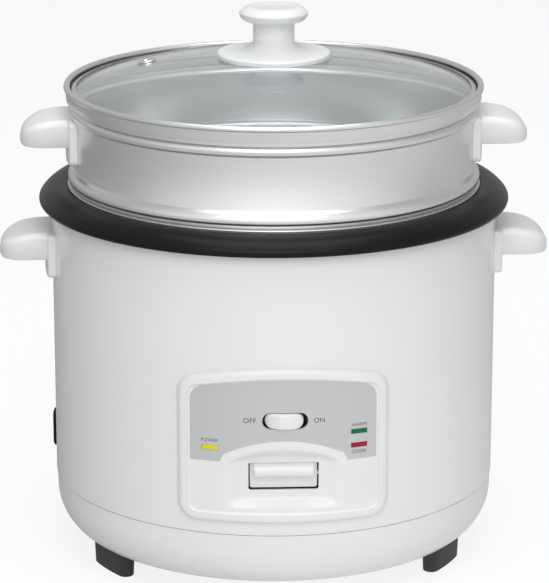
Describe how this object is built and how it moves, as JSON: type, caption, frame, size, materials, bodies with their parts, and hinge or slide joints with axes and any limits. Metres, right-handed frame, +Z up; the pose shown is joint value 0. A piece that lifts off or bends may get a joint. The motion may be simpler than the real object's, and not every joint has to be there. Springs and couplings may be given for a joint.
{
  "type": "rice cooker steamer",
  "caption": "Round electric rice cooker with a press-down cook key, a lift-off steamer pan and a domed glass lid.",
  "frame": {"origin": "centre of the bounding box in plan, on the floor plane under the feet; this is the cooker's axis", "axes": "+Z up; -Y is the front with the control panel; +X is to the right of someone facing the front"},
  "size_m": [0.3088, 0.264, 0.3108],
  "materials": {
    "white_plastic": "white moulded plastic, soft gloss",
    "white_sheet": "white painted sheet, gloss",
    "black_plastic": "black moulded plastic, gloss",
    "dark_rubber": "dark grey, matte",
    "silver_fascia": "silver painted plate, satin",
    "steamer_metal": "bright spun aluminium",
    "pot_metal": "satin spun aluminium",
    "cast_metal": "cast aluminium, machined top",
    "liner_metal": "drawn sheet, plain",
    "steel": "plain zinc plated steel",
    "band_steel": "polished stainless band",
    "magnet_ferrite": "dark ferrite, matte",
    "brass_terminal": "plain brass",
    "clear_glass": "clear tempered glass",
    "lamp_yellow": "yellow lens, translucent look",
    "lamp_green": "green lens, translucent look",
    "lamp_red": "red lens, translucent look",
    "bulb_glass": "small neon bulb",
    "ceramic": "glazed ceramic, off white",
    "switch_plastic": "dark switch plastic",
    "gasket_rubber": "pale silicone"
  },
  "bodies": {
    "cooker": {"outer_shell": "white_sheet", "base_ring": "white_plastic", "base_plate": "steel", "foot_left": "dark_rubber", "foot_right": "dark_rubber", "foot_rear": "dark_rubber", "foot_screws": "steel", "base_screws": "steel", "tie_posts": "steel", "top_ring": "black_plastic", "inner_liner": "liner_metal", "body_handle_left": "white_plastic", "body_handle_right": "white_plastic", "body_handle_screws": "steel", "control_panel": "white_plastic", "panel_fascia": "silver_fascia", "lamp_power": "lamp_yellow", "lamp_warm": "lamp_green", "lamp_cook": "lamp_red", "lamp_bulbs": "bulb_glass", "panel_screws": "steel", "rocker_housing": "switch_plastic", "lever_bracket": "steel", "lever_pin": "steel", "heating_plate": "cast_metal", "heater_spacers": "steel", "heater_screws": "steel", "heater_terminals": "brass_terminal", "thermostat_frame": "steel", "frame_screws": "steel", "sensor_spring": "steel", "magnet_spring": "steel", "micro_switch": "switch_plastic", "keep_warm_thermostat": "ceramic", "thermal_fuse": "ceramic", "terminal_block": "ceramic", "power_inlet": "black_plastic", "inlet_pins": "brass_terminal"},
    "lid": {"lid_glass": "clear_glass", "lid_band": "band_steel", "steam_vent": "band_steel", "lid_knob": "white_plastic", "knob_gasket": "gasket_rubber", "knob_washer": "steel", "knob_screw": "steel"},
    "steamer": {"steamer_pan": "steamer_metal", "steamer_basket": "steamer_metal", "steamer_handle_left": "white_plastic", "steamer_handle_right": "white_plastic", "steamer_handle_screws": "steel"},
    "pot": {"inner_pot": "pot_metal"},
    "sensor": {"sensor_cup": "steel", "ferrite_disc": "magnet_ferrite"},
    "magnet": {"magnet": "magnet_ferrite", "magnet_rod": "steel"},
    "lever": {"cook_key": "white_plastic", "lever_arm": "steel"},
    "plunger": {"switch_plunger": "switch_plastic"},
    "rocker": {"rocker_button": "white_plastic"}
  },
  "joints": [
    {"name": "pot_lift", "type": "slide", "parent": "cooker", "child": "pot", "axis": [0, 0, 1], "range_m": [0, 0.13]},
    {"name": "steamer_lift", "type": "slide", "parent": "pot", "child": "steamer", "axis": [0, 0, 1], "range_m": [0, 0.06]},
    {"name": "lid_lift", "type": "slide", "parent": "steamer", "child": "lid", "axis": [0, 0, 1], "range_m": [0, 0.1]},
    {"name": "key_press", "type": "hinge", "parent": "cooker", "child": "lever", "pos_m": [0, -0.062, 0.076], "axis": [1, 0, 0], "range_deg": [0, 5], "stiffness_Nm_per_rad": 1, "springref_deg": -5.73},
    {"name": "magnet_slide", "type": "slide", "parent": "cooker", "child": "magnet", "axis": [0, 0, 1], "range_m": [0, 0.0055], "deforming": ["magnet_spring"]},
    {"name": "plunger_slide", "type": "slide", "parent": "cooker", "child": "plunger", "axis": [0, 0, 1], "range_m": [0, 0.002]},
    {"name": "sensor_slide", "type": "slide", "parent": "cooker", "child": "sensor", "axis": [0, 0, 1], "range_m": [-0.0015, 0], "stiffness_N_per_m": 1000, "springref_m": 0.004, "deforming": ["sensor_spring"]},
    {"name": "power_rocker", "type": "hinge", "parent": "cooker", "child": "rocker", "pos_m": [0.0006, -0.121, 0.1105], "axis": [0, 0, 1], "range_deg": [0, 14]}
  ],
  "couplings": [
    {"joint": "magnet_slide", "follows": "key_press", "m_per_rad": 0.062},
    {"joint": "plunger_slide", "follows": "key_press", "m_per_rad": 0.022}
  ]
}
